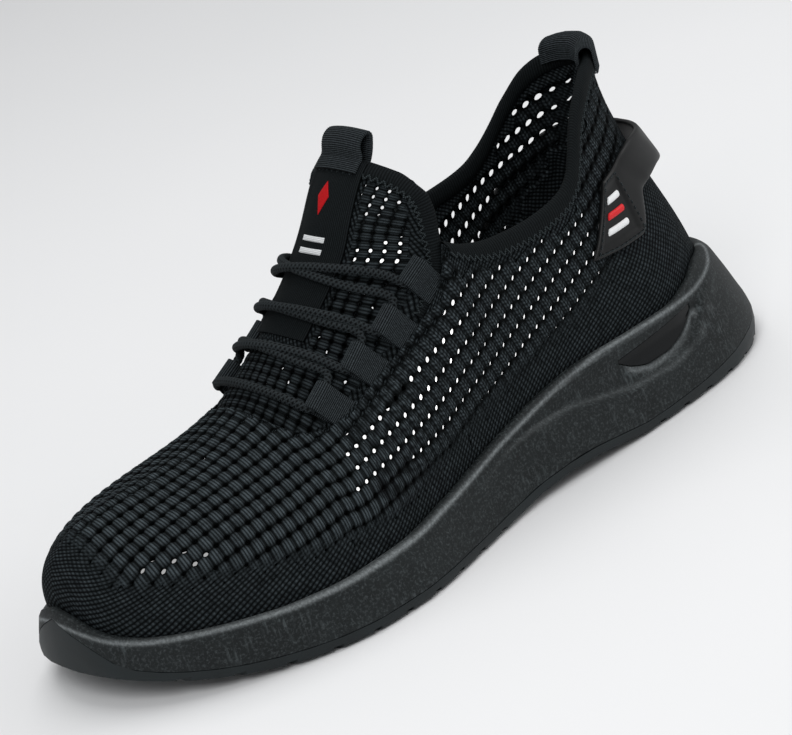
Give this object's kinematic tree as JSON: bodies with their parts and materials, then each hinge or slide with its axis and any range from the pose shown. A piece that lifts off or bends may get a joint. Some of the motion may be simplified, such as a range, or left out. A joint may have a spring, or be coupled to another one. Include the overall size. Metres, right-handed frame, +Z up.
{
  "type": "safety shoe",
  "caption": "Low safety shoe of the sneaker type for the left foot: knitted sock upper, laced tongue, heel strap and thick two-layer sole, worn to protect the foot at work.",
  "frame": {"origin": "on the floor under the middle of the shoe's box", "axes": "+X from toe to heel, +Y to the inner side of the foot, +Z up"},
  "size_m": [0.2958, 0.1094, 0.1339],
  "materials": {
    "sole_rubber": "matte moulded rubber",
    "sole_foam": "mottled moulded foam with a lighter worn rim",
    "footbed": "foam with a fabric top",
    "knit": "open flat knit",
    "webbing": "fine ribbed weave",
    "cord": "round braid",
    "moulded_plastic": "satin moulded soft plastic",
    "gloss_plastic": "smooth gloss"
  },
  "bodies": {
    "root": {"outsole": "sole_rubber", "midsole": "sole_foam", "insole": "footbed", "upper": "knit", "tongue": "knit", "tongue_tape": "webbing", "tongue_pull_loop": "webbing", "heel_pull_loop": "webbing", "heel_strap": "moulded_plastic", "sole_lens_lateral": "gloss_plastic", "sole_lens_medial": "gloss_plastic", "lace_loop_lateral_1": "webbing", "lace_loop_lateral_2": "webbing", "lace_loop_lateral_3": "webbing", "lace_loop_lateral_4": "webbing", "lace_loop_medial_1": "webbing", "lace_loop_medial_2": "webbing", "lace_loop_medial_3": "webbing", "lace_loop_medial_4": "webbing", "lace_bar": "cord", "lace_cross_1": "cord", "lace_cross_2": "cord", "lace_cross_3": "cord"}
  },
  "joints": []
}
